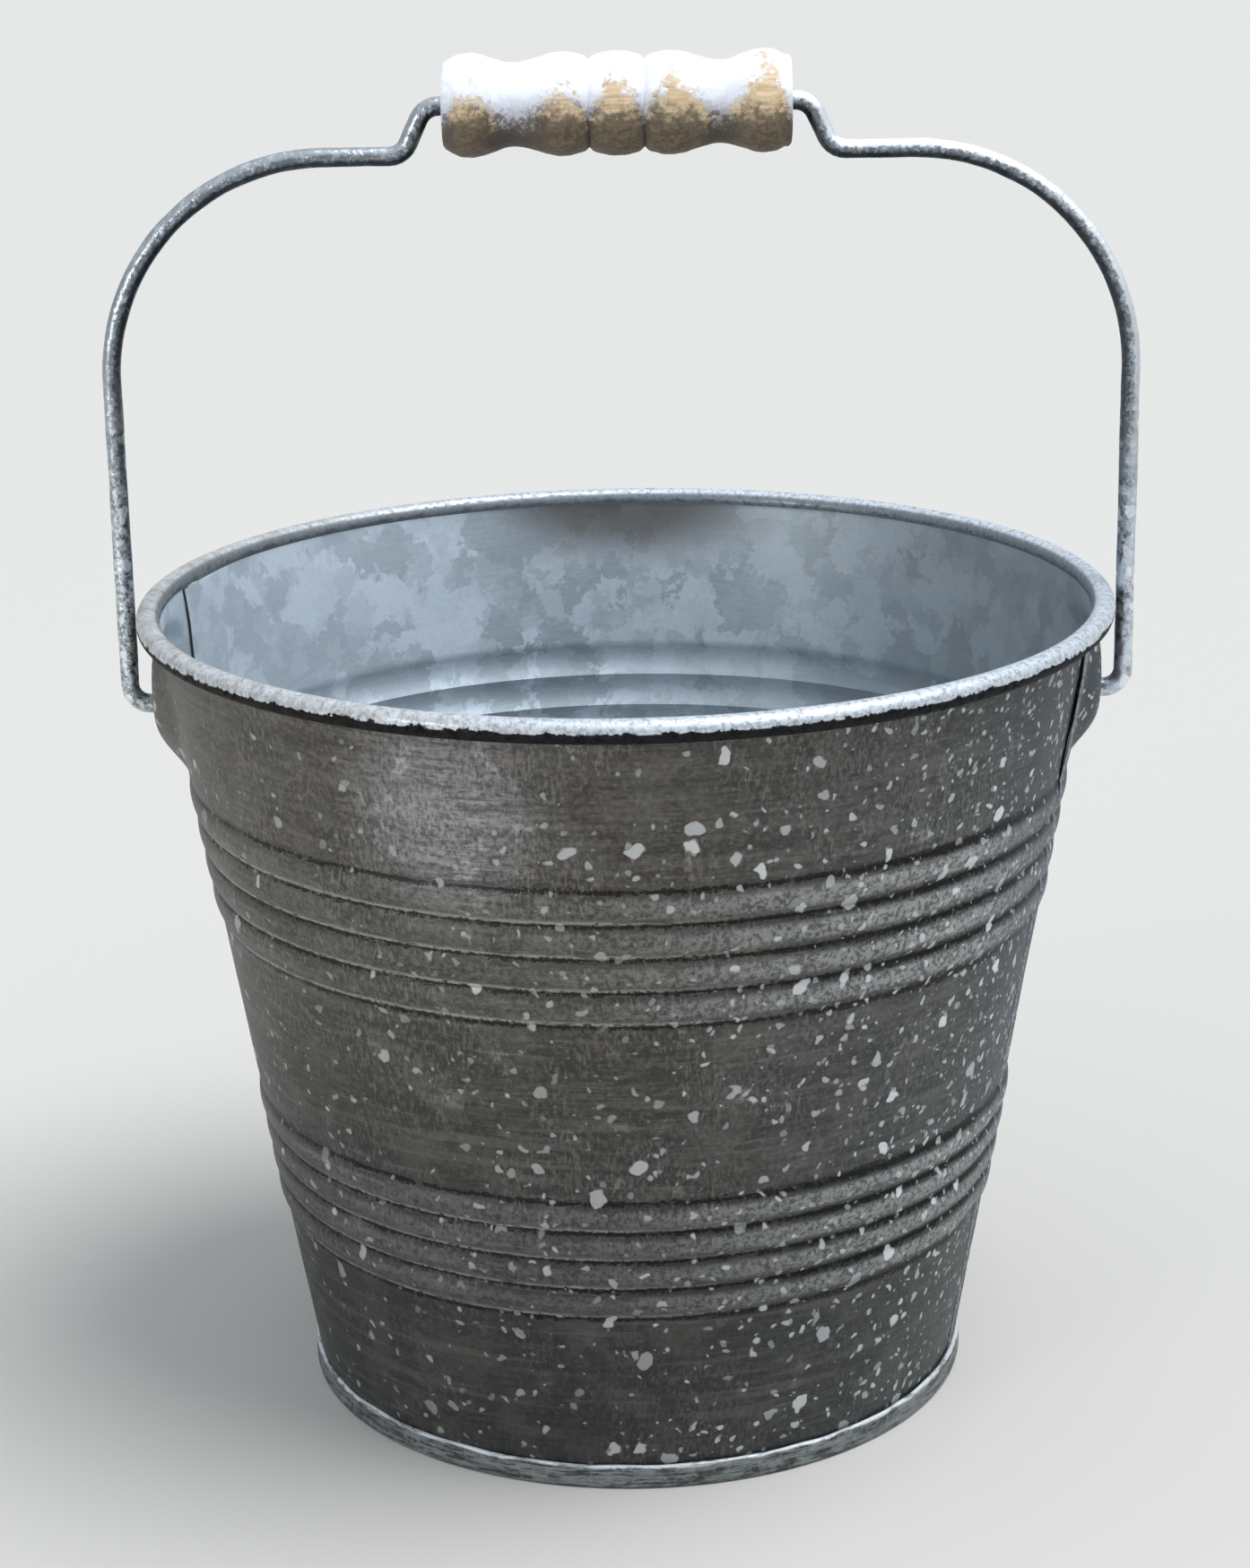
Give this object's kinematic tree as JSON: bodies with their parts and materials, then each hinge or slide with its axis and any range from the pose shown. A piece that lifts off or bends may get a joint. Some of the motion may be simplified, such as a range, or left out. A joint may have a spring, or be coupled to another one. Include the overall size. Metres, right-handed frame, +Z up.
{
  "type": "sand bucket",
  "caption": "Small tapered galvanised bucket with rib bands, a rolled rim, pressed ears and a swinging wire bail that carries a turned wooden grip.",
  "frame": {"origin": "centre of the foot, on the surface that the bucket stands on", "axes": "+Z up along the bucket's axis, +X through the ears towards the right ear, +Y towards the back"},
  "size_m": [0.1678, 0.16, 0.2217],
  "materials": {
    "zinc_wall": "antiqued galvanised, brushed",
    "zinc_pan": "galvanised, worn",
    "rim_steel": "plain drawn wire",
    "bail_steel": "zinc coated wire, worn",
    "painted_wood": "worn white paint over turned wood"
  },
  "bodies": {
    "bucket": {"front_wall": "zinc_wall", "back_wall": "zinc_wall", "rim_wire": "rim_steel", "bottom_pan": "zinc_pan"},
    "bail": {"bail": "bail_steel"},
    "grip": {"grip": "painted_wood"}
  },
  "joints": [
    {"name": "bail_swing", "type": "hinge", "parent": "bucket", "child": "bail", "pos_m": [0, 0, 0.1166], "axis": [1, 0, 0], "range_deg": [-131, 131]},
    {"name": "grip_spin", "type": "hinge", "parent": "bail", "child": "grip", "pos_m": [0, 0, 0.2135], "axis": [1, 0, 0], "continuous": true}
  ]
}
